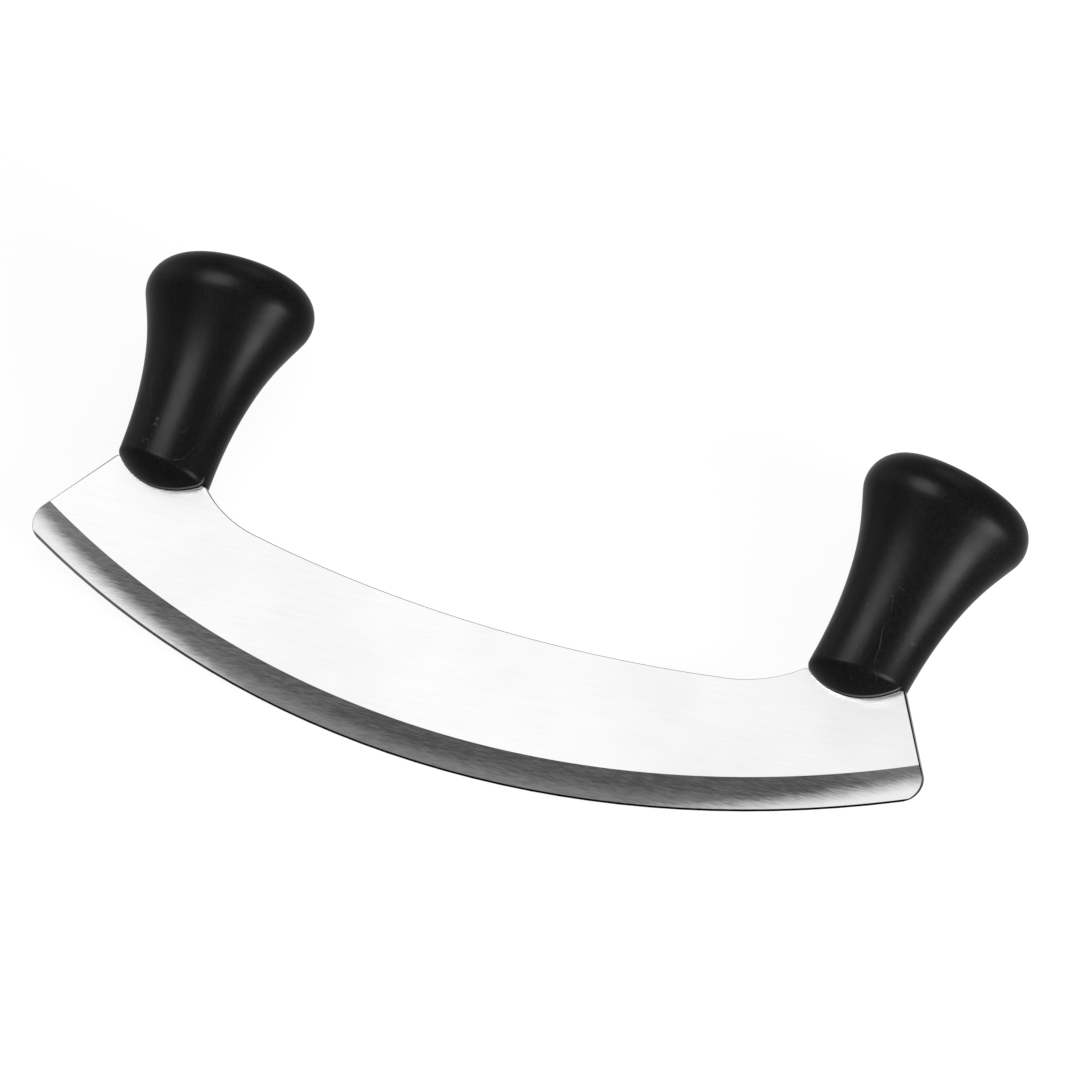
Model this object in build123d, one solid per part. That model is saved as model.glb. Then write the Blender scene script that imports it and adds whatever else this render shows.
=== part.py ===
from build123d import *
import math
import os

# A rocking herb knife: one curved steel blade with a moulded handle on each of its two tangs.
# All lengths are in millimetres and all angles in degrees.
#
# The knife is drawn flat first. X runs along the blade, Y runs from the cutting edge to the
# handles with 0 at the lowest point of the edge, and Z is the plate's normal with 0 halfway
# through the plate. At the end it is laid down as it lies on a table, on its edge and its knobs.

# Blade plate
PLATE_THICKNESS = 2.0          # where its faces are ground, from the edge up to the handles
TANG_THICKNESS = 2.1           # as rolled, where the handles cover it
EDGE_RADIUS = 278.0            # the cutting edge rocks on this arc
SPINE_HEIGHT = 36.56           # from the edge to the spine, at the middle of the blade
EDGE_SPAN = 243.6              # between the ends of the cutting edge, before they are rounded
CORNER_RADIUS = 5.3            # the rounded ends of the cutting edge
EDGE_BREAK = 0.2               # the small chamfer that takes the sharpness off the plate's rim

# Grind, the same on both faces
BEVEL_WIDTH = 8.2
SHOULDER_THICKNESS = 0.5       # the steel left where the fine bevel starts
FINE_BEVEL_WIDTH = 0.45
EDGE_LAND = 0.1                # the steel left at the very edge

# Where the handles stand on the blade
HANDLE_SPACING = 186.6         # between the handles' axes, where the blade enters them
HANDLE_SPLAY = 4.4             # how far each handle's axis leans out from Y
SEAT_LEAN = -3.5               # how far its lower end is turned out from Y, so this one is turned in
KNOB_LEAN = 7.0                # how far its top is turned out from Y
SEAT_HEIGHT = 50.1             # from the edge's lowest point to the middle of the handles' seats
NECK_WIDTH = 25.4              # the plate where it enters a handle
NECK_ANGLE = 40.4              # the spine's slope where it meets a handle
BEND_SHARE = 0.644             # of the spine's rise, the size of the tighter bend by each handle

# Tangs, hidden in the handles
TANG_WIDTH = 14.0
TANG_TIP_WIDTH = 10.0
TANG_LENGTH = 36.0
TANG_ROOT_RADIUS = 1.5
TANG_TIP_RADIUS = 3.0
LOCK_HOLE_RADIUS = 2.5
LOCK_HOLE_PLACE_SHARES = (0.3, 0.7)      # of the tang's length
MOULD_CLEARANCE = 0.03         # the plastic's shrinkage off the steel

# Handle, as heights above its seat and the half width there
SEAT_RADIUS = 12.1
SEAT_DOME = 4.6                # how far the rounded lower end reaches below the seat
SEAT_EDGE_RADIUS = 2.0
WAIST_RADIUS = 12.0
WAIST_HEIGHT = 3.5
KNOB_RADIUS = 24.0             # where the flared grip would meet the top, before the rim is rounded
KNOB_HEIGHT = 50.0
FLARE_ANGLE = 24.0             # between the grip and the axis, at the knob
# The grip between waist and knob, as shares of the rise and of the growth in radius
GRIP_RISE_SHARES = (0.241, 0.428, 0.628, 0.826)
GRIP_GROWTH_SHARES = (0.05, 0.16, 0.37, 0.697)
RIM_RADIUS = 7.9               # the rounding between the grip and the top
TOP_DOME = 4.5                 # how far the middle of the top rises above KNOB_HEIGHT
THICKNESS_SHARE = 0.85         # of the handle's width, its thickness through the plate

# One overrun for every cut
OVERRUN = 2.0

# How often the search for the angle at which the knife lies is halved
TILT_STEPS = 20


def handle_place():
    """Where the right handle stands: its axis along local Y, the middle of its seat at the origin."""
    lean = math.radians(HANDLE_SPLAY)
    across = (math.cos(lean), -math.sin(lean), 0)
    return Plane(origin=(HANDLE_SPACING / 2, SEAT_HEIGHT, 0), x_dir=across, z_dir=(0, 0, 1))


def facing(lean):
    """The way that an end of the right handle faces in the handle's own place, when turned out from Y."""
    turn = math.radians(lean - HANDLE_SPLAY)
    return Vector(math.sin(turn), math.cos(turn))


def neck_points():
    """The two places where the plate's outline enters the right handle, inner one first."""
    outward = facing(SEAT_LEAN)
    along = NECK_WIDTH / 2 * Vector(outward.Y, -outward.X)
    return [handle_place().from_local_coords(point) for point in (-along, along)]


def edge_corner():
    """Where the straight right end of the blade would meet the arc of the cutting edge."""
    reach = EDGE_SPAN / 2
    return Vector(reach, EDGE_RADIUS - math.sqrt(EDGE_RADIUS**2 - reach**2))


def with_twin(edges):
    """Adds to some edges of the right half the same edges of the left half."""
    return edges + [mirror(edge, Plane.YZ) for edge in edges]


def spine_arcs():
    """The spine's right half: half of a long flat arc, then a tighter bend up to the handle."""
    neck = neck_points()[0]
    slope = math.radians(NECK_ANGLE)
    rise = neck.Y - SPINE_HEIGHT
    bend = BEND_SHARE * rise / (1 - math.cos(slope))
    centre = neck + bend * Vector(-math.sin(slope), math.cos(slope))
    # The long arc's centre is above the middle of the blade, as far as lets the two arcs touch
    lift = centre.Y - SPINE_HEIGHT
    sweep = (centre.X**2 + lift**2 - bend**2) / (2 * (lift - bend))
    turn = math.asin(centre.X / (sweep - bend))
    middle = Vector(0, SPINE_HEIGHT + sweep)
    quarter, joint = [middle + sweep * Vector(math.sin(angle), -math.cos(angle))
                      for angle in (turn / 2, turn)]
    halfway = (turn + slope) / 2
    elbow = centre + bend * Vector(math.sin(halfway), -math.cos(halfway))
    return [ThreePointArc((0, SPINE_HEIGHT), quarter, joint), ThreePointArc(joint, elbow, neck)]


def tang_outline(base_width, margin):
    """The right tang on its base, in its handle's own place, grown all round by a margin."""
    root = TANG_WIDTH / 2 + margin
    tip = TANG_TIP_WIDTH / 2 + margin
    top = TANG_LENGTH + margin
    base_depth = SEAT_DOME + OVERRUN
    low = -base_depth / 2
    tang = make_face(Polyline((-root, low), (-tip, top), (tip, top), (root, low), close=True))
    tang = fillet(tang.vertices().group_by(Axis.Y)[-1], TANG_TIP_RADIUS + margin)
    base = Pos(0, margin + low) * Rectangle(base_width, base_depth)
    outline = tang + Rot(0, 0, HANDLE_SPLAY - SEAT_LEAN) * base
    outward = facing(SEAT_LEAN)
    along = Vector(outward.Y, -outward.X)
    roots = [outline.vertices().sort_by_distance(reach * along)[0] for reach in (-root, root)]
    outline = fillet(roots, TANG_ROOT_RADIUS - margin)
    for share in LOCK_HOLE_PLACE_SHARES:
        outline -= Pos(0, share * TANG_LENGTH) * Circle(LOCK_HOLE_RADIUS - margin)
    return outline


def crescent_outline():
    """The plate below the handles' seats, seen square on."""
    corner = edge_corner()
    inner, outer = neck_points()
    left_corner = Vector(-corner.X, corner.Y)
    crescent = make_face([ThreePointArc(left_corner, Vector(0, 0), corner)]
                         + with_twin(spine_arcs() + [Line(corner, outer), Line(outer, inner)]))
    by_reach = crescent.vertices().sort_by(lambda point: abs(point.X))
    return fillet(by_reach[-2:], CORNER_RADIUS)


def grinding_ring():
    """What the grinding wheel takes off the front: a ring whose section is the bevel's wedge."""
    half_plate = PLATE_THICKNESS / 2
    half_shoulder = SHOULDER_THICKNESS / 2
    half_land = EDGE_LAND / 2
    shoulder_radius = EDGE_RADIUS - FINE_BEVEL_WIDTH
    rise_per_width = (half_plate - half_shoulder) / (BEVEL_WIDTH - FINE_BEVEL_WIDTH)
    start_radius = EDGE_RADIUS - BEVEL_WIDTH - OVERRUN / rise_per_width
    section = make_face(Polyline(
        (start_radius, half_plate + OVERRUN),
        (shoulder_radius, half_shoulder),
        (EDGE_RADIUS, half_land),
        (EDGE_RADIUS + OVERRUN, half_land),
        (EDGE_RADIUS + OVERRUN, half_plate + OVERRUN),
        close=True))
    hub = (0, EDGE_RADIUS, 0)
    upright = Plane(origin=hub, x_dir=(1, 0, 0), z_dir=(0, -1, 0))
    return revolve(upright.location * section, Axis(hub, (0, 0, 1)))


def make_blade():
    """The crescent with its rim broken and its faces ground, on two tangs that keep their rolled skin."""
    crescent = crescent_outline()
    plate = extrude(crescent, PLATE_THICKNESS / 2, both=True)
    faces = plate.faces().sort_by(Axis.Z)
    plate = chamfer(faces[0].outer_wire().edges() + faces[-1].outer_wire().edges(), EDGE_BREAK)
    front_ring = grinding_ring()
    plate = plate - front_ring - mirror(front_ring, Plane.XY)
    tang = extrude(tang_outline(2 * SEAT_RADIUS, 0), TANG_THICKNESS / 2, both=True)
    tang = handle_place().location * (tang & flattened(handle_body()))
    return plate + tang + mirror(tang, Plane.YZ)


def barrel_section():
    """Half of the handle's section without its two ends, which it runs past."""
    rise = KNOB_HEIGHT - WAIST_HEIGHT
    growth = KNOB_RADIUS - WAIST_RADIUS
    grip = [(WAIST_RADIUS + growth * wide, WAIST_HEIGHT + rise * high)
            for high, wide in zip(GRIP_RISE_SHARES, GRIP_GROWTH_SHARES)]
    slope = math.tan(math.radians(FLARE_ANGLE))
    past = TOP_DOME + OVERRUN
    low, high = -SEAT_DOME - OVERRUN, KNOB_HEIGHT + past
    foot, beyond = (SEAT_RADIUS, low), (KNOB_RADIUS + past * slope, high)
    side_curve = Spline([foot, (WAIST_RADIUS, WAIST_HEIGHT)] + grip + [(KNOB_RADIUS, KNOB_HEIGHT), beyond],
                        tangents=[(0, 1), (slope, 1)])
    return make_face([side_curve, Polyline(beyond, (0, high), (0, low), foot)])


def handle_body():
    """The right handle without slot and pocket, still as thick as it is wide."""
    # The lower end is part of one ball and the top is part of a larger one
    radius = (SEAT_RADIUS**2 + SEAT_DOME**2) / (2 * SEAT_DOME)
    place = Pos((radius - SEAT_DOME) * facing(SEAT_LEAN)) * Rot(0, 0, HANDLE_SPLAY - SEAT_LEAN)
    reach = 2 * radius
    trimming = Pos(0, -reach / 2) * Box(reach, reach, reach) - Sphere(radius)
    top_radius = (KNOB_RADIUS**2 + TOP_DOME**2) / (2 * TOP_DOME)
    top_middle = Vector(0, KNOB_HEIGHT) - (top_radius - TOP_DOME) * facing(KNOB_LEAN)
    body = revolve(barrel_section(), Axis.Y) - place * trimming
    body = body & Pos(top_middle) * Sphere(top_radius)
    # The rims lie between two faces, unlike the seams
    for upper, rounding in ((False, SEAT_EDGE_RADIUS), (True, RIM_RADIUS)):
        rims = [edge for edge in body.edges()
                if (edge.center().Y > KNOB_HEIGHT / 2) == upper
                and sum(edge in face.edges() for face in body.faces()) == 2]
        body = fillet(rims, rounding)
    return body


def flattened(shape):
    """The same shape, thinner through the plate than along it."""
    return scale(shape, (1, 1, THICKNESS_SHARE))


def make_handle():
    """The right handle: an oval moulding with a slot for the plate and a close pocket round the tang."""
    pocket_outline = tang_outline(NECK_WIDTH + 2 * OVERRUN, MOULD_CLEARANCE)
    pocket = extrude(pocket_outline, TANG_THICKNESS / 2 + MOULD_CLEARANCE, both=True)
    return handle_place().location * (flattened(handle_body()) - pocket)


def height_gap(tilt, blade, handle):
    """How much higher a handle's lowest point is than the blade's, with the knife turned by a tilt."""
    turn = Rot(tilt, 0, 0)
    return (turn * handle).bounding_box().min.Z - (turn * blade).bounding_box().min.Z


def laid_down(blade, handles):
    """Turns the flat knife until its edge and both knobs touch the table, and centres it there."""
    low, high = 0, 45
    for _ in range(TILT_STEPS):
        tilt = (low + high) / 2
        if height_gap(tilt, blade, handles[0]) < 0:
            low = tilt
        else:
            high = tilt
    turned = [Rot(tilt, 0, 0) * shape for shape in (blade, *handles)]
    box = turned[0].bounding_box()
    for shape in turned[1:]:
        box = box.add(shape.bounding_box())
    shift = Vector(-box.center().X, -box.center().Y, -box.min.Z)
    print(f"turned by {tilt:.3f} degrees, then moved by {shift}; the box is {box.size}")
    return [Pos(shift) * shape for shape in turned]


os.makedirs("parts", exist_ok=True)
names = ("blade", "left_handle", "right_handle")
right_handle = make_handle()
pieces = laid_down(make_blade(), [mirror(right_handle, Plane.YZ), right_handle])
for name, piece in zip(names, pieces):
    export_step(piece, f"parts/{name}.step")
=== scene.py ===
"""A rocking herb knife, lying on its cutting edge and its two knobs, in plain studio light."""

import logging
import math
from dataclasses import dataclass, field
from typing import Union

import bpy
from mathutils import Matrix, Vector

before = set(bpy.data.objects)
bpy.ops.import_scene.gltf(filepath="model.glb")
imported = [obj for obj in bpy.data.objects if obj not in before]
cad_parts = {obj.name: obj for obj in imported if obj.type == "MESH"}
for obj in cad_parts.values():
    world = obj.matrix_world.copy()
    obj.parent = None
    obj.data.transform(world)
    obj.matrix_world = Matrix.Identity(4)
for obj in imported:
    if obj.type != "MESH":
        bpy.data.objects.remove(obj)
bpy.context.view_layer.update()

log = logging.getLogger("herb_knife")

MM = 0.001

Colour = tuple[float, float, float, float]
Point = tuple[float, float]
Span = tuple[float, float]
Socket = bpy.types.NodeSocket
Source = Union[Socket, float, tuple[float, ...]]


def grey(level: float, blue: float) -> Colour:
    """A grey whose blue part has its own level."""
    return (level, level, blue, 1.0)


@dataclass(frozen=True)
class FlatFrame:
    """The knife's own flat frame, seen from the frame in which it lies on the table.

    In it X runs along the blade, Y from the cutting edge to the handles, and Z out of the front
    face. Its middle is the middle of the cutting edge, which lies just above the table.
    """

    tilt: float = math.radians(11.203)
    middle: Vector = field(default_factory=lambda: Vector((0.0, -51.909, 0.1578)) * MM)

    def facing(self) -> Vector:
        """The way that the front face looks, as the knife lies on the table."""
        return Matrix.Rotation(self.tilt, 3, "X") @ Vector((0.0, 0.0, 1.0))


def put_on(piece: str, material: bpy.types.Material) -> None:
    """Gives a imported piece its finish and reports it.

    Args:
        piece: the name of the piece's node.
        material: the finish.
    """
    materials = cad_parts[piece].data.materials
    materials.clear()
    materials.append(material)
    log.info("%s dressed with %s", piece, material.name)


@dataclass(frozen=True)
class Blade:
    """The ground plate, with the sizes that its finish follows, in metres in the flat frame.

    The corner is the rounded one on the right, and the left one mirrors it. There edge_facing and
    end_facing are the ways that the edge and the cut end look, and end_reach is how far the cut end
    lies from the middle of the edge, measured in its own way.
    """

    piece: str = "blade"
    edge_radius: float = 278.0 * MM
    bevel_width: float = 8.2 * MM
    fine_bevel_width: float = 0.45 * MM
    half_thickness: float = 1.0 * MM
    half_length: float = 119.0 * MM
    corner_radius: float = 5.3 * MM
    corner_middle: Point = (113.88 * MM, 30.2 * MM)
    corner_thinning: float = 0.12 * MM
    edge_facing: Point = (0.418, -0.909)
    end_facing: Point = (0.817, 0.577)
    end_reach: float = 115.77 * MM

    def dress(self, steel: bpy.types.Material) -> None:
        """Gives the blade its steel."""
        put_on(self.piece, steel)


@dataclass(frozen=True)
class Handles:
    """Both handles, with the places that their finish follows, in metres in the flat frame.

    Each span goes from where scratches or the lip aren't seen to where they are seen in full. It
    is measured from the middle of the cutting edge in scratched_along and foot_along, from the
    plate's middle in scratched_front, and from the plate's surface in lip_highlight_from and lip_highlight_to.
    """

    pieces: tuple[str, str] = ("left_handle", "right_handle")
    scratched_along: Span = (80.0 * MM, 66.0 * MM)
    scratched_front: Span = (3.0 * MM, 7.0 * MM)
    foot_along: Span = (51.5 * MM, 50.0 * MM)
    lip_highlight_from: Span = (0.7 * MM, 0.95 * MM)
    lip_highlight_to: Span = (1.5 * MM, 1.2 * MM)

    def dress(self, plastic: bpy.types.Material) -> None:
        """Gives each handle its plastic."""
        for piece in self.pieces:
            put_on(piece, plastic)


FLAT = FlatFrame()
BLADE = Blade()
HANDLES = Handles()


class NodeBench:
    """Adds shader nodes to one tree and joins them up, so that a finish reads as a list of steps."""

    def __init__(self, tree: bpy.types.NodeTree) -> None:
        """Starts a bench.

        Args:
            tree: the material's or group's node tree.
        """
        self.tree = tree

    def add(self, kind: str, **settings: object) -> bpy.types.Node:
        """Makes one node.

        Args:
            kind: the node's type name.
            settings: properties of the node to set.

        Returns:
            The new node.
        """
        node = self.tree.nodes.new(kind)
        for name, value in settings.items():
            setattr(node, name, value)
        return node

    def feed(self, socket: Socket, source: Source) -> None:
        """Joins a socket to another socket, or gives it a plain value.

        Args:
            socket: the socket to fill.
            source: what goes into it.
        """
        if isinstance(source, Socket):
            self.tree.links.new(source, socket)
        else:
            socket.default_value = source

    def placed(self, group: bpy.types.NodeTree, inputs: dict[str, Source]) -> bpy.types.Node:
        """Places a node group.

        Args:
            group: the group.
            inputs: what goes into each of its sockets, by name.

        Returns:
            The node that holds the group.
        """
        node = self.add("ShaderNodeGroup", node_tree=group)
        for name, source in inputs.items():
            self.feed(node.inputs[name], source)
        return node

    def math(self, operation: str, *terms: Source, clamp: bool = False) -> Socket:
        """Does one step of arithmetic.

        Args:
            operation: the Math node's operation.
            terms: its inputs, as sockets or numbers.
            clamp: whether the result is held between 0 and 1.

        Returns:
            The result's socket.
        """
        node = self.add("ShaderNodeMath", operation=operation, use_clamp=clamp)
        for socket, term in zip(node.inputs, terms):
            self.feed(socket, term)
        return node.outputs[0]

    def plus(self, one: Source, other: Source) -> Socket:
        """The sum of two terms."""
        return self.math("ADD", one, other)

    def minus(self, one: Source, other: Source) -> Socket:
        """One term less the other."""
        return self.math("SUBTRACT", one, other)

    def times(self, one: Source, other: Source) -> Socket:
        """The product of two terms."""
        return self.math("MULTIPLY", one, other)

    def unsigned(self, value: Source) -> Socket:
        """A value without its sign."""
        return self.math("ABSOLUTE", value)

    def more(self, one: Source, other: Source) -> Socket:
        """1 where one term is more than the other, and 0 elsewhere."""
        return self.math("GREATER_THAN", one, other)

    def inverse(self, mask: Source) -> Socket:
        """What a mask leaves out."""
        return self.minus(1.0, mask)

    def length(self, along: Source, across: Source) -> Socket:
        """The length of a line that goes so far along and so far across."""
        return self.math("SQRT", self.plus(self.times(along, along), self.times(across, across)))

    def line(self, value: Source, slope: Source, start: Source, clamp: bool = False) -> Socket:
        """A value times a slope, plus a start."""
        return self.math("MULTIPLY_ADD", value, slope, start, clamp=clamp)

    def ramp(
        self, value: Source, low: Source, high: Source, start: Source = 0.0, end: Source = 1.0
    ) -> Socket:
        """Changes smoothly from one value to another.

        Args:
            value: what the change follows.
            low: the value at which the change starts.
            high: the value at which it ends.
            start: the result before the change.
            end: the result after it.

        Returns:
            The result's socket.
        """
        node = self.add("ShaderNodeMapRange", interpolation_type="SMOOTHSTEP")
        names = ("Value", "From Min", "From Max", "To Min", "To Max")
        for name, source in zip(names, (value, low, high, start, end)):
            self.feed(node.inputs[name], source)
        return node.outputs["Result"]

    def blend(self, share: Source, one: Source, other: Source) -> Socket:
        """Mixes two colours.

        Args:
            share: how much of the other colour there is.
            one: the colour at a share of 0.
            other: the colour at a share of 1.

        Returns:
            The mixed colour's socket.
        """
        node = self.add("ShaderNodeMix", data_type="RGBA")
        colours = [socket for socket in node.inputs if socket.type == "RGBA"]
        self.feed(node.inputs[0], share)
        self.feed(colours[0], one)
        self.feed(colours[1], other)
        return next(socket for socket in node.outputs if socket.type == "RGBA")

    def noise(self, vector: Source, scale: float, detail: float, roughness: float) -> Socket:
        """Spreads a noise over the surface.

        Args:
            vector: the place on the surface.
            scale: how many bumps it has to a unit of the vector.
            detail: how many finer layers lie on it.
            roughness: how strong the finer layers are.

        Returns:
            The noise's value.
        """
        node = self.add("ShaderNodeTexNoise")
        self.feed(node.inputs["Vector"], vector)
        self.feed(node.inputs["Scale"], scale)
        self.feed(node.inputs["Detail"], detail)
        self.feed(node.inputs["Roughness"], roughness)
        return node.outputs["Fac"]

    def turned(self, vector: Source, turn: float) -> Socket:
        """Turns a vector about Z.

        Args:
            vector: the vector.
            turn: the angle in radians.

        Returns:
            The turned vector.
        """
        node = self.add("ShaderNodeMapping", vector_type="POINT")
        self.feed(node.inputs["Vector"], vector)
        self.feed(node.inputs["Rotation"], (0.0, 0.0, turn))
        return node.outputs[0]

    def enlarged(self, vector: Source, factor: Source) -> Socket:
        """Makes a vector longer.

        Args:
            vector: the vector.
            factor: how many times longer it gets.

        Returns:
            The longer vector.
        """
        node = self.add("ShaderNodeVectorMath", operation="SCALE")
        self.feed(node.inputs["Vector"], vector)
        self.feed(node.inputs["Scale"], factor)
        return node.outputs[0]

    def split(self, vector: Source) -> tuple[Socket, ...]:
        """Takes a vector apart.

        Args:
            vector: the vector.

        Returns:
            Its three parts.
        """
        node = self.add("ShaderNodeSeparateXYZ")
        self.feed(node.inputs[0], vector)
        return tuple(node.outputs)

    def join(self, *parts: Source) -> Socket:
        """Puts a vector together.

        Args:
            parts: its three parts.

        Returns:
            The vector.
        """
        node = self.add("ShaderNodeCombineXYZ")
        for socket, part in zip(node.inputs, parts):
            self.feed(socket, part)
        return node.outputs[0]

    def bump(self, height: Source, strength: float, distance: float) -> Socket:
        """Turns a height into a normal.

        Args:
            height: the height, between 0 and 1.
            strength: how much of the bump is seen.
            distance: how high a height of 1 stands, in metres.

        Returns:
            The normal's socket.
        """
        node = self.add("ShaderNodeBump")
        self.feed(node.inputs["Height"], height)
        self.feed(node.inputs["Strength"], strength)
        self.feed(node.inputs["Distance"], distance)
        return node.outputs[0]


class GroupBench(NodeBench):
    """A bench on a new shader node group, with the group's own sockets by name."""

    def __init__(self, name: str, inputs: dict[str, str], outputs: dict[str, str]) -> None:
        """Makes the group.

        Args:
            name: the group's name.
            inputs: each input's name and socket type.
            outputs: each output's name and socket type.
        """
        super().__init__(bpy.data.node_groups.new(name, "ShaderNodeTree"))
        for way, sockets in (("INPUT", inputs), ("OUTPUT", outputs)):
            for label, kind in sockets.items():
                self.tree.interface.new_socket(name=label, in_out=way, socket_type=kind)
        entry, leave = self.add("NodeGroupInput"), self.add("NodeGroupOutput")
        self.given = {socket.name: socket for socket in entry.outputs if socket.name}
        self.out = {socket.name: socket for socket in leave.inputs if socket.name}


@dataclass(frozen=True)
class BeltGrain:
    """Fine parallel lines of a grinding belt, with broader ones among them."""

    name: str = "belt_grain"
    line_scale: float = 1.0
    line_detail: float = 3.0
    line_roughness: float = 0.7
    broad_scale: float = 0.17
    broad_detail: float = 2.0
    broad_roughness: float = 0.6
    broad_height: float = 0.3
    broad_tone: float = 0.25

    def build(self) -> bpy.types.NodeTree:
        """Makes the group.

        Returns:
            The group. Its lines run along the vector's X, and it puts them out as a height and as
            a tone of light and dark.
        """
        bench = GroupBench(
            self.name,
            {
                "Vector": "NodeSocketVector",
                "Lines Per Metre": "NodeSocketFloat",
                "Stretch": "NodeSocketFloat",
            },
            {"Height": "NodeSocketFloat", "Tone": "NodeSocketFloat"},
        )
        dense = bench.given["Lines Per Metre"]
        x, y, z = (bench.times(part, dense) for part in bench.split(bench.given["Vector"]))
        place = bench.join(bench.times(x, bench.given["Stretch"]), y, z)
        lines = bench.noise(place, self.line_scale, self.line_detail, self.line_roughness)
        broad = bench.noise(place, self.broad_scale, self.broad_detail, self.broad_roughness)
        for output, share in (("Height", self.broad_height), ("Tone", self.broad_tone)):
            mixed = bench.plus(bench.times(lines, 1.0 - share), bench.times(broad, share))
            bench.feed(bench.out[output], mixed)
        return bench.tree


@dataclass(frozen=True)
class HairMarks:
    """Hair-thin wandering scratches, in patches here and there on a surface.

    A scratch lies where its wandering noise is at middle, and fades over line_span beside it. A
    patch lies where the patches' noise is over patch_edge, less the group's share times patch_reach.
    """

    name: str = "hair_marks"
    wander_scale: float = 1.0
    wander_detail: float = 1.0
    wander_roughness: float = 0.4
    middle: float = 0.5
    line_span: Span = (0.001, 0.0035)
    patch_scale: float = 2.3
    patch_detail: float = 1.0
    patch_roughness: float = 0.5
    patch_edge: float = 0.72
    patch_reach: float = 0.4
    patch_softness: float = 0.04

    def build(self) -> bpy.types.NodeTree:
        """Makes the group.

        Returns:
            The group. Its mask is 1 on a scratch, and its share says how much of the surface has
            any.
        """
        bench = GroupBench(
            self.name,
            {
                "Vector": "NodeSocketVector",
                "Marks Per Metre": "NodeSocketFloat",
                "Share": "NodeSocketFloat",
            },
            {"Mask": "NodeSocketFloat"},
        )
        place = bench.enlarged(bench.given["Vector"], bench.given["Marks Per Metre"])
        wander = bench.noise(place, self.wander_scale, self.wander_detail, self.wander_roughness)
        off_line = bench.unsigned(bench.minus(wander, self.middle))
        line = bench.ramp(off_line, *self.line_span, 1.0, 0.0)
        patch = bench.noise(place, self.patch_scale, self.patch_detail, self.patch_roughness)
        edge = bench.minus(self.patch_edge, bench.times(bench.given["Share"], self.patch_reach))
        here = bench.ramp(bench.minus(patch, edge), 0.0, self.patch_softness)
        bench.feed(bench.out["Mask"], bench.times(line, here))
        return bench.tree


def flat_place(bench: NodeBench) -> Socket:
    """Finds the place on a piece in the knife's own flat frame.

    Args:
        bench: where the nodes are added.

    Returns:
        The place in metres: along the blade, from its edge to the handles, out of its front face.
    """
    flat = bench.add("ShaderNodeMapping", vector_type="TEXTURE")
    bench.feed(flat.inputs["Vector"], bench.add("ShaderNodeTexCoord").outputs["Object"])
    flat.inputs["Location"].default_value = FLAT.middle
    flat.inputs["Rotation"].default_value = (FLAT.tilt, 0.0, 0.0)
    return flat.outputs[0]


class BladePlace:
    """Where a shaded point lies on the blade, in the flat frame, as sockets in metres."""

    def __init__(self, bench: NodeBench) -> None:
        """Finds the place.

        Args:
            bench: where the nodes are added.
        """
        self.bench = bench
        self.flat = flat_place(bench)
        self.x, self.y, self.z = bench.split(self.flat)
        from_middle = bench.length(self.x, bench.minus(self.y, BLADE.edge_radius))
        self.from_edge = bench.minus(BLADE.edge_radius, from_middle)
        self.side = bench.unsigned(self.x)

    def from_rim(self) -> Socket:
        """Finds how deep the place lies inside the blade's cut ends and rounded corners.

        Returns:
            The depth in metres, large in the middle of the blade.
        """
        bench = self.bench
        along_end, up_end = BLADE.end_facing
        ahead = bench.plus(bench.times(self.side, along_end), bench.times(self.y, up_end))
        from_end = bench.minus(BLADE.end_reach, ahead)
        along = bench.minus(self.side, BLADE.corner_middle[0])
        up = bench.minus(self.y, BLADE.corner_middle[1])
        outline = BLADE.corner_radius + BLADE.corner_thinning
        from_corner = bench.minus(outline, bench.length(along, up))

        # The corner counts only between the ways that the edge and the cut end look, and
        # elsewhere its depth gets a metre more
        along_edge, up_edge = BLADE.edge_facing
        past_edge = bench.more(bench.times(along, -up_edge), bench.times(up, -along_edge))
        before_end = bench.more(bench.times(along, up_end), bench.times(up, along_end))
        elsewhere = bench.inverse(bench.times(past_edge, before_end))
        return bench.math("MINIMUM", from_end, bench.plus(from_corner, elsewhere))

    def change(self, shares: Span, start: Source = 0.0, end: Source = 1.0) -> Socket:
        """Changes smoothly along the blade.

        Args:
            shares: where the change starts and ends, as shares of the blade's half length, less
                than zero to the left of its middle.
            start: the result before the change.
            end: the result after it.

        Returns:
            The result's socket.
        """
        first, last = (share * BLADE.half_length for share in shares)
        return self.bench.ramp(self.x, first, last, start, end)


@dataclass(frozen=True)
class Finish:
    """What every finish shares: a material with one Principled shader."""

    name: str = "finish"

    def start(self) -> tuple[bpy.types.Material, NodeBench, bpy.types.Node]:
        """Makes the material.

        Returns:
            The material, a bench on its tree and its Principled shader.
        """
        material = bpy.data.materials.new(self.name)
        material.use_nodes = True
        bench = NodeBench(material.node_tree)
        return material, bench, material.node_tree.nodes["Principled BSDF"]


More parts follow.
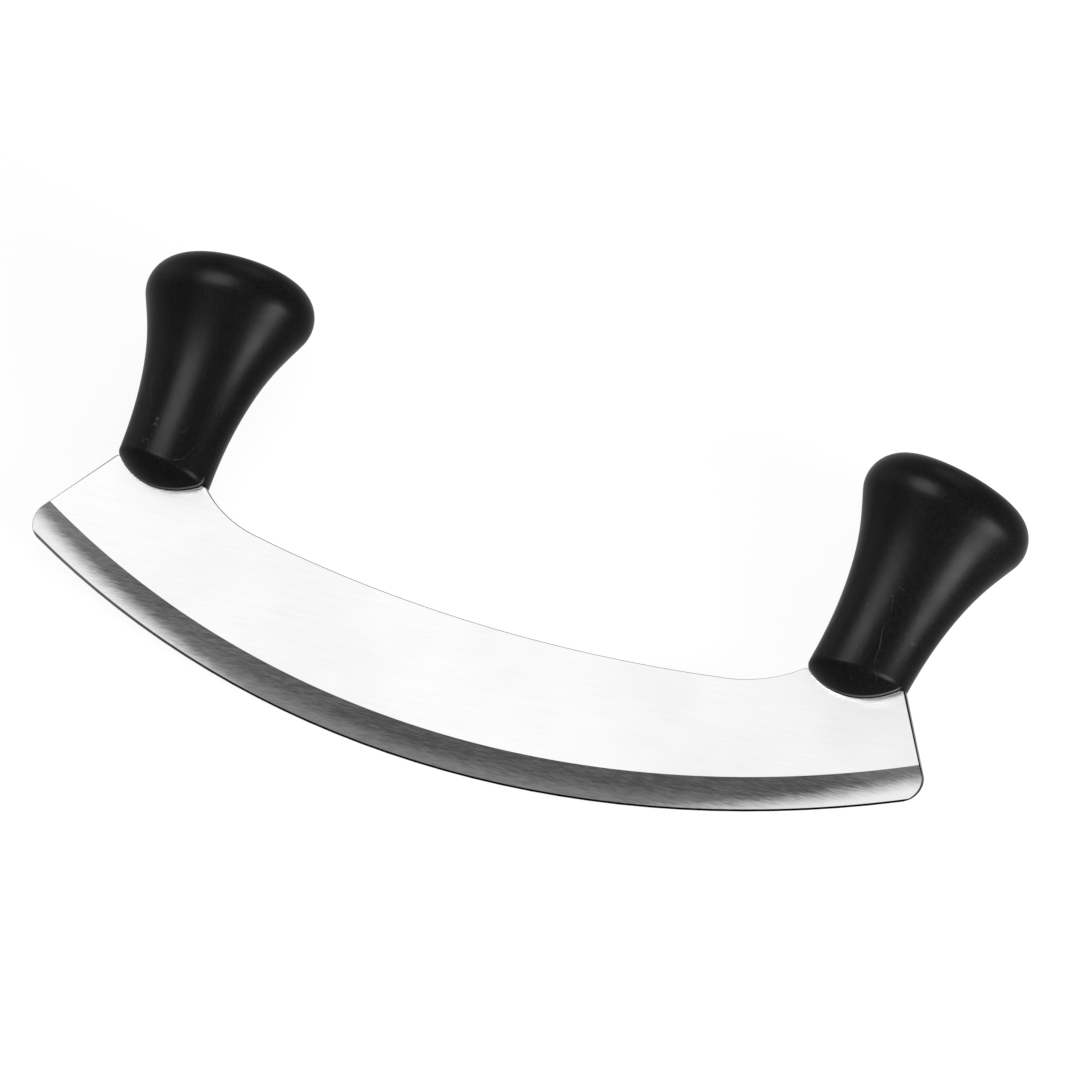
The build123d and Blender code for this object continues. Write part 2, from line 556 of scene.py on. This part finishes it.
@dataclass(frozen=True)
class GroundSteel(Finish):
    """Bright satin stainless steel, with a ground bevel whose dark is partly its grind and partly
    painted dark reflection, a fine dark edge and a sheared rim.

    A span is where a change starts and ends, and a weight is how much the change moves the colour.
    Spans named shares lie along the blade, as shares of its half length that are less than zero on
    the left. Those of out are such shares without a sign, and those of up are shares of the bevel's
    width.
    """

    name: str = "ground_steel"
    mask_softness: float = 0.05 * MM

    # The belt's lines on the face and on the bevel
    grain_turn: float = math.radians(-4.0)
    face_lines: float = 2600.0
    face_stretch: float = 0.03
    bevel_lines: float = 3800.0
    bevel_stretch: float = 0.08
    middle_tone: float = 0.5

    # The face, a little duller in clouds, and darker towards the right as painted shade
    flat_colour: Colour = grey(0.955, 0.957)
    flat_shade: float = 0.86
    face_tone_span: Span = (0.3, 0.7)
    face_tone_weight: float = 0.35
    cloud_scale: float = 22.0
    cloud_detail: float = 3.0
    cloud_roughness: float = 0.6
    cloud_span: Span = (0.35, 0.7)
    cloud_weight: float = 0.4
    right_shade_shares: Span = (0.1, 1.0)
    right_shade_weight: float = 0.6

    # The bevel's dark part: its rougher grind and painted dark reflection, paler by the edge, to the
    # left and towards both ends
    bevel_colour: Colour = grey(0.068, 0.07)
    bevel_edge_colour: Colour = grey(0.2, 0.202)
    bevel_tone_span: Span = (0.35, 0.65)
    bevel_tone_start: float = 0.3
    bevel_tone_weight: float = 0.55
    low_up_span: Span = (0.7, 0.0)
    low_weight: float = 0.8
    end_out_span: Span = (0.75, 1.0)
    end_weight: float = 0.5
    left_shares: Span = (0.0, -0.6)
    left_weight: float = 0.25

    # The bevel's painted reflection, a pale part which rises towards both ends as a share of its
    # width
    bevel_reflection_colour: Colour = grey(0.74, 0.74)
    reflection_start: float = -0.76
    reflection_rise: float = 1.3
    reflection_streak: float = 0.45
    reflection_left_rise: float = 0.16
    reflection_left_out_span: Span = (0.95, 0.6)
    reflection_span: Span = (-0.32, 0.3)

    # The fine bevel, wider and paler on the left
    fine_bevel_colour: Colour = grey(0.004, 0.004)
    fine_bevel_left_colour: Colour = grey(0.12, 0.121)
    fine_left_shares: Span = (-0.35, -0.9)
    fine_growth: float = 1.4
    fine_growth_shares: Span = (-0.3, -0.8)

    # The rim, whose flatness is 1 where it looks the way that the face does
    broken_edge_colour: Colour = grey(0.08, 0.081)
    broken_span: Span = (0.86, 0.8)
    sheared_colour: Colour = grey(0.008, 0.008)
    edgewise_span: Span = (0.5, 0.3)
    torn_span: Span = (0.55 * MM, 0.35 * MM)
    cut_end_span: Span = (1.2 * MM, 0.8 * MM)
    rim_width: float = 0.25 * MM
    rim_left_colour: Colour = grey(0.16, 0.161)
    rim_left_shares: Span = (-0.5, 0.0)

    # The surface
    flat_roughness: float = 0.3
    bevel_roughness: float = 0.4
    roughness_spread: float = 0.12
    bump_strength: float = 0.1
    bump_height: float = 0.02 * MM

    def grain(
        self, bench: NodeBench, belt: bpy.types.NodeTree, along: Socket, lines: float, stretch: float
    ) -> bpy.types.Node:
        """Places one run of the belt's lines.

        Args:
            bench: where the nodes are added.
            belt: the group that draws them.
            along: the place on the blade, turned so that its X follows the lines.
            lines: how many lie side by side in a metre.
            stretch: how fast a line changes along itself, as a share of the change across.

        Returns:
            The node that holds the group.
        """
        inputs = {"Vector": along, "Lines Per Metre": lines, "Stretch": stretch}
        return bench.placed(belt, inputs)

    def face(self, place: BladePlace, tone: Socket) -> Socket:
        """Colours the blade's face, with painted shade that darkens it towards the right.

        Args:
            place: where the shaded point lies.
            tone: the light and dark of the belt's lines.

        Returns:
            The colour.
        """
        bench = place.bench
        cloud = bench.noise(place.flat, self.cloud_scale, self.cloud_detail, self.cloud_roughness)
        clouded = bench.times(bench.ramp(cloud, *self.cloud_span), self.cloud_weight)
        # painted shade: the face darkens towards the right, on top of the random clouds
        clouds_and_shade = bench.line(place.change(self.right_shade_shares), self.right_shade_weight, clouded)
        lines = bench.ramp(tone, *self.face_tone_span)
        share = bench.line(lines, self.face_tone_weight, clouds_and_shade, clamp=True)
        shade = tuple(part * self.flat_shade for part in self.flat_colour[:3]) + self.flat_colour[3:]
        return bench.blend(share, self.flat_colour, shade)

    def bevel(self, place: BladePlace, tone: Socket) -> Socket:
        """Colours the bevel: dark with painted dark reflection, and with a painted pale reflection
        in its lower part that grows towards both ends.

        Args:
            place: where the shaded point lies.
            tone: the light and dark of the belt's lines.

        Returns:
            The colour.
        """
        bench = place.bench
        out = bench.math("DIVIDE", place.side, BLADE.half_length)
        up = bench.math("DIVIDE", place.from_edge, BLADE.bevel_width)
        left = place.change(self.left_shares)

        # painted reflection: a pale patch in the bevel's lower part that rises towards both ends
        left_middle = bench.times(left, bench.ramp(out, *self.reflection_left_out_span))
        streak = bench.times(bench.minus(tone, self.middle_tone), self.reflection_streak)
        risen = bench.plus(bench.line(out, self.reflection_rise, self.reflection_start), streak)
        reach = bench.line(left_middle, self.reflection_left_rise, risen)
        light = bench.ramp(bench.minus(reach, up), *self.reflection_span)

        # painted dark reflection on the bevel, paler by the edge, to the left and towards both ends
        low = bench.times(bench.ramp(up, *self.low_up_span), self.low_weight)
        low_left = bench.line(left, self.left_weight, low)
        paler = bench.line(bench.ramp(out, *self.end_out_span), self.end_weight, low_left)
        lines = bench.minus(bench.ramp(tone, *self.bevel_tone_span), self.bevel_tone_start)
        share = bench.line(lines, self.bevel_tone_weight, paler, clamp=True)
        dark = bench.blend(share, self.bevel_colour, self.bevel_edge_colour)
        return bench.blend(light, dark, self.bevel_reflection_colour)

    def with_fine_bevel(self, place: BladePlace, colour: Socket) -> Socket:
        """Draws the fine bevel along the cutting edge.

        Args:
            place: where the shaded point lies.
            colour: the colour without it.

        Returns:
            The colour with it.
        """
        bench = place.bench
        wide = self.fine_growth * BLADE.fine_bevel_width
        width = place.change(self.fine_growth_shares, BLADE.fine_bevel_width, wide)
        past = bench.minus(place.from_edge, width)
        on_fine = bench.ramp(past, -self.mask_softness, self.mask_softness, 1.0, 0.0)
        left = place.change(self.fine_left_shares)
        fine = bench.blend(left, self.fine_bevel_colour, self.fine_bevel_left_colour)
        return bench.blend(on_fine, colour, fine)

    def with_rim(self, place: BladePlace, colour: Socket) -> Socket:
        """Draws the sheared rim, bright and smooth by the front face, dark and torn by the back.

        Args:
            place: where the shaded point lies.
            colour: the colour without it.

        Returns:
            The colour with it.
        """
        bench = place.bench
        facing = bench.add("ShaderNodeVectorMath", operation="DOT_PRODUCT")
        bench.feed(facing.inputs[0], bench.add("ShaderNodeNewGeometry").outputs["True Normal"])
        facing.inputs[1].default_value = FLAT.facing()
        flatness = bench.unsigned(facing.outputs["Value"])
        depth = place.from_rim()
        at_end = bench.ramp(depth, *self.cut_end_span)
        edgewise = bench.ramp(flatness, *self.edgewise_span)
        torn = bench.times(edgewise, bench.ramp(place.z, *self.torn_span))
        on_rim = bench.ramp(
            depth, self.rim_width + self.mask_softness, self.rim_width - self.mask_softness
        )

        right = place.change(self.rim_left_shares)
        rim_line = bench.blend(right, self.rim_left_colour, self.sheared_colour)
        broken = bench.blend(at_end, self.broken_edge_colour, rim_line)
        sheared = bench.blend(at_end, self.flat_colour, self.sheared_colour)
        colour = bench.blend(bench.ramp(flatness, *self.broken_span), colour, broken)
        colour = bench.blend(edgewise, colour, sheared)
        colour = bench.blend(torn, colour, self.sheared_colour)
        return bench.blend(on_rim, colour, rim_line)

    def build(self, belt: bpy.types.NodeTree) -> bpy.types.Material:
        """Makes the material.

        Args:
            belt: the group that draws a belt's lines.

        Returns:
            The steel, whose masks follow the blade's own sizes.
        """
        material, bench, shader = self.start()
        place = BladePlace(bench)
        turned = bench.turned(place.flat, self.grain_turn)
        face_grain = self.grain(bench, belt, turned, self.face_lines, self.face_stretch)
        bevel_grain = self.grain(bench, belt, turned, self.bevel_lines, self.bevel_stretch)
        past_bevel = bench.minus(place.from_edge, BLADE.bevel_width)
        on_bevel = bench.ramp(past_bevel, -self.mask_softness, self.mask_softness, 1.0, 0.0)
        face = self.face(place, face_grain.outputs["Tone"])
        bevel = self.bevel(place, bevel_grain.outputs["Tone"])
        colour = self.with_fine_bevel(place, bench.blend(on_bevel, face, bevel))
        bench.feed(shader.inputs["Base Color"], self.with_rim(place, colour))
        shader.inputs["Metallic"].default_value = 1.0

        off_middle = bench.minus(face_grain.outputs["Tone"], self.middle_tone)
        spread = bench.times(off_middle, self.roughness_spread)
        rough = bench.ramp(on_bevel, 0.0, 1.0, self.flat_roughness, self.bevel_roughness)
        bench.feed(shader.inputs["Roughness"], bench.plus(rough, spread))

        face_height = bench.times(face_grain.outputs["Height"], bench.inverse(on_bevel))
        bevel_height = bench.times(bevel_grain.outputs["Height"], on_bevel)
        height = bench.plus(face_height, bevel_height)
        normal = bench.bump(height, self.bump_strength, self.bump_height)
        bench.feed(shader.inputs["Normal"], normal)
        return material


@dataclass(frozen=True)
class BlackMoulding(Finish):
    """Black plastic with the fine sandy skin of its mould and a few hair-thin marks of use.

    A span is where a change starts and ends, and a weight is how much the change moves the colour.
    """

    name: str = "black_moulding"
    colour: Colour = grey(0.0008, 0.0008)
    worn_colour: Colour = grey(0.0022, 0.0023)
    sand_scale: float = 1500.0
    sand_detail: float = 3.0
    sand_roughness: float = 0.7
    sand_span: Span = (0.4, 0.72)

    # Scratches, drawn out along the handle by the squeeze
    mark_colour: Colour = grey(0.02, 0.0205)
    mark_weight: float = 0.5
    mark_depth: float = 0.6
    mark_squeeze: float = 0.35
    marks_per_metre: float = 190.0
    mark_share: float = 0.55

    # The painted highlight line over the lip, and the surface
    lip_highlight_colour: Colour = grey(0.03, 0.0305)
    gloss: float = 0.032
    roughness_span: Span = (0.29, 0.4)
    cloud_scale: float = 70.0
    cloud_detail: float = 3.0
    cloud_roughness: float = 0.6
    cloud_span: Span = (0.2, 0.8)
    bump_strength: float = 0.35
    bump_height: float = 0.04 * MM

    def build(self, marks: bpy.types.NodeTree) -> bpy.types.Material:
        """Makes the material.

        Args:
            marks: the group that draws hair-thin scratches.

        Returns:
            The plastic, whose marks follow the handles' own places.
        """
        material, bench, shader = self.start()
        place = bench.add("ShaderNodeTexCoord").outputs["Object"]
        across, along, out = bench.split(flat_place(bench))
        sand = bench.noise(place, self.sand_scale, self.sand_detail, self.sand_roughness)
        skin = bench.blend(bench.ramp(sand, *self.sand_span), self.colour, self.worn_colour)

        # Use has scratched the low front of each handle, along it
        drawn_out = bench.join(across, bench.times(along, self.mark_squeeze), out)
        scratches = bench.placed(
            marks,
            {
                "Vector": drawn_out,
                "Marks Per Metre": self.marks_per_metre,
                "Share": self.mark_share,
            },
        )
        low = bench.ramp(along, *HANDLES.scratched_along)
        low_front = bench.times(low, bench.ramp(out, *HANDLES.scratched_front))
        mark = bench.times(scratches.outputs["Mask"], low_front)
        skin = bench.blend(bench.times(mark, self.mark_weight), skin, self.mark_colour)

        # The foot ends in a thin lip on the plate, with a painted highlight line above it where the
        # lip's rounded edge would catch the light
        on_foot = bench.ramp(along, *HANDLES.foot_along)
        above = bench.minus(bench.unsigned(out), BLADE.half_thickness)
        lip = bench.times(bench.ramp(above, *HANDLES.lip_highlight_from), bench.ramp(above, *HANDLES.lip_highlight_to))
        # painted highlight: a lighter band on the foot just above the lip
        skin = bench.blend(bench.times(lip, on_foot), skin, self.lip_highlight_colour)
        bench.feed(shader.inputs["Base Color"], skin)

        cloud = bench.noise(place, self.cloud_scale, self.cloud_detail, self.cloud_roughness)
        rough = bench.ramp(cloud, *self.cloud_span, *self.roughness_span)
        bench.feed(shader.inputs["Roughness"], rough)
        shader.inputs["Specular IOR Level"].default_value = self.gloss
        height = bench.minus(sand, bench.times(mark, self.mark_depth))
        normal = bench.bump(height, self.bump_strength, self.bump_height)
        bench.feed(shader.inputs["Normal"], normal)
        return material


@dataclass(frozen=True)
class Lamp:
    """A soft square lamp that looks at the knife, with its place and width in metres.

    Its power is in watts. Where it names pieces, it lights only those.
    """

    name: str
    place: tuple[float, float, float]
    width: float
    power: float
    only: tuple[str, ...] = ()

    def hang(self) -> None:
        """Hangs the lamp in its place."""
        data = bpy.data.lights.new(self.name, "AREA")
        data.size = self.width
        data.energy = self.power
        lamp = bpy.data.objects.new(self.name, data)
        lamp.location = self.place
        lamp.rotation_euler = (-Vector(self.place)).to_track_quat("-Z", "Y").to_euler()
        bpy.context.scene.collection.objects.link(lamp)
        if self.only:
            lit = bpy.data.collections.new(self.name + "_lights")
            lamp.light_linking.receiver_collection = lit
            for piece in self.only:
                lit.objects.link(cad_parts[piece])


@dataclass(frozen=True)
class Camera:
    """The camera, where the photograph was taken from and looking at its target.

    The sensor is in millimetres, and sight is how far the camera sees, in metres.
    """

    azimuth: float = math.radians(43.180)
    elevation: float = math.radians(51.197)
    roll: float = math.radians(-19.550)
    distance: float = 2576.8 * MM
    target: Vector = field(default_factory=lambda: Vector((2.166, 9.026, 12.227)) * MM)
    focal_pixels: float = 11059.0
    picture_pixels: float = 1066.0
    sensor: float = 36.0
    sight: float = 20.0

    def place(self) -> Matrix:
        """Works out where the camera stands and how it is turned.

        Returns:
            The camera's matrix.
        """
        level = Vector((math.cos(self.azimuth), math.sin(self.azimuth), 0.0))
        outward = Vector((math.sin(self.azimuth), -math.cos(self.azimuth), 0.0))
        back = outward * math.cos(self.elevation)
        back.z = math.sin(self.elevation)
        spin = Matrix.Rotation(self.roll, 3, back)
        across, up = spin @ level, spin @ back.cross(level)
        place = Matrix((across, up, back)).transposed().to_4x4()
        place.translation = self.target + back * self.distance
        return place

    def set_up(self) -> None:
        """Makes the camera and gives it to the scene."""
        data = bpy.data.cameras.new("camera")
        data.sensor_width = self.sensor
        data.lens = self.focal_pixels / self.picture_pixels * self.sensor
        data.clip_end = self.sight
        camera = bpy.data.objects.new("camera", data)
        camera.matrix_world = self.place()
        bpy.context.scene.collection.objects.link(camera)
        bpy.context.scene.camera = camera


@dataclass(frozen=True)
class Studio:
    """The pale floor, the soft lamps, the white world and the camera."""

    camera: Camera = field(default_factory=Camera)
    lamps: tuple[Lamp, ...] = (
        Lamp("overhead", place=(-0.22, -0.02, 0.75), width=0.38, power=14.0, only=HANDLES.pieces),
        Lamp("right_side", place=(0.65, -0.18, 0.11), width=0.42, power=23.0),
        Lamp("left_side", place=(-1.10, 0.15, 0.45), width=0.7, power=2.0),
        Lamp("behind", place=(0.0, 1.10, 0.75), width=0.7, power=5.0),
    )
    white: Colour = grey(1.0, 1.0)
    world_light: float = 0.65
    floor_colour: Colour = grey(0.95, 0.95)
    floor_roughness: float = 0.9
    floor_half: float = 6.0
    shadow_share: float = 0.1

    def seen(self, bench: NodeBench) -> Socket:
        """Tells where a surface is looked at and not only lit by it.

        Args:
            bench: where the nodes are added.

        Returns:
            1 where the camera, a mirror or a glass looks at it, and 0 elsewhere.
        """
        path = bench.add("ShaderNodeLightPath").outputs
        either = bench.math("MAXIMUM", path["Is Camera Ray"], path["Is Glossy Ray"])
        return bench.math("MAXIMUM", either, path["Is Transmission Ray"])

    def set_world(self) -> None:
        """Makes a plain grey world that the camera and mirrors see as white."""
        world = bpy.data.worlds.new("studio")
        bpy.context.scene.world = world
        world.use_nodes = True
        bench = NodeBench(world.node_tree)
        background = world.node_tree.nodes["Background"]
        background.inputs["Color"].default_value = self.white
        strength = bench.ramp(self.seen(bench), 0.0, 1.0, self.world_light, 1.0)
        bench.feed(background.inputs["Strength"], strength)

    def floor_material(self) -> bpy.types.Material:
        """Makes the floor's white, which keeps a faint share of the knife's shadow.

        Returns:
            The material.
        """
        material = bpy.data.materials.new("floor_white")
        material.use_nodes = True
        bench = NodeBench(material.node_tree)
        shader = material.node_tree.nodes["Principled BSDF"]
        shader.inputs["Base Color"].default_value = self.floor_colour
        shader.inputs["Roughness"].default_value = self.floor_roughness
        shader.inputs["Specular IOR Level"].default_value = 0.0
        glow = bench.add("ShaderNodeEmission")
        glow.inputs["Strength"].default_value = 1.0
        mix = bench.add("ShaderNodeMixShader")
        bench.feed(mix.inputs[0], bench.times(self.seen(bench), 1.0 - self.shadow_share))
        bench.feed(mix.inputs[1], shader.outputs[0])
        bench.feed(mix.inputs[2], glow.outputs[0])
        bench.feed(material.node_tree.nodes["Material Output"].inputs["Surface"], mix.outputs[0])
        return material

    def set_floor(self) -> None:
        """Lays the floor under the knife."""
        half = self.floor_half
        corners = [(-half, -half, 0.0), (half, -half, 0.0), (half, half, 0.0), (-half, half, 0.0)]
        mesh = bpy.data.meshes.new("floor")
        mesh.from_pydata(corners, [], [tuple(range(len(corners)))])
        mesh.materials.append(self.floor_material())
        floor = bpy.data.objects.new("floor", mesh)
        bpy.context.scene.collection.objects.link(floor)

    def build(self) -> None:
        """Makes the whole studio."""
        self.set_world()
        self.set_floor()
        for lamp in self.lamps:
            lamp.hang()
        self.camera.set_up()
        bpy.context.scene.view_settings.view_transform = "Standard"


@dataclass(frozen=True)
class Knife:
    """The whole knife: its blade and its two handles."""

    blade: Blade = BLADE
    handles: Handles = HANDLES

    def dress(self) -> None:
        """Gives every piece its finish."""
        self.blade.dress(GroundSteel().build(BeltGrain().build()))
        self.handles.dress(BlackMoulding().build(HairMarks().build()))


def main() -> None:
    """Builds the scene in order and reports each piece."""
    logging.basicConfig(level=logging.INFO, format="%(name)s: %(message)s")
    Studio().build()
    Knife().dress()


if __name__ == "__main__":
    main()
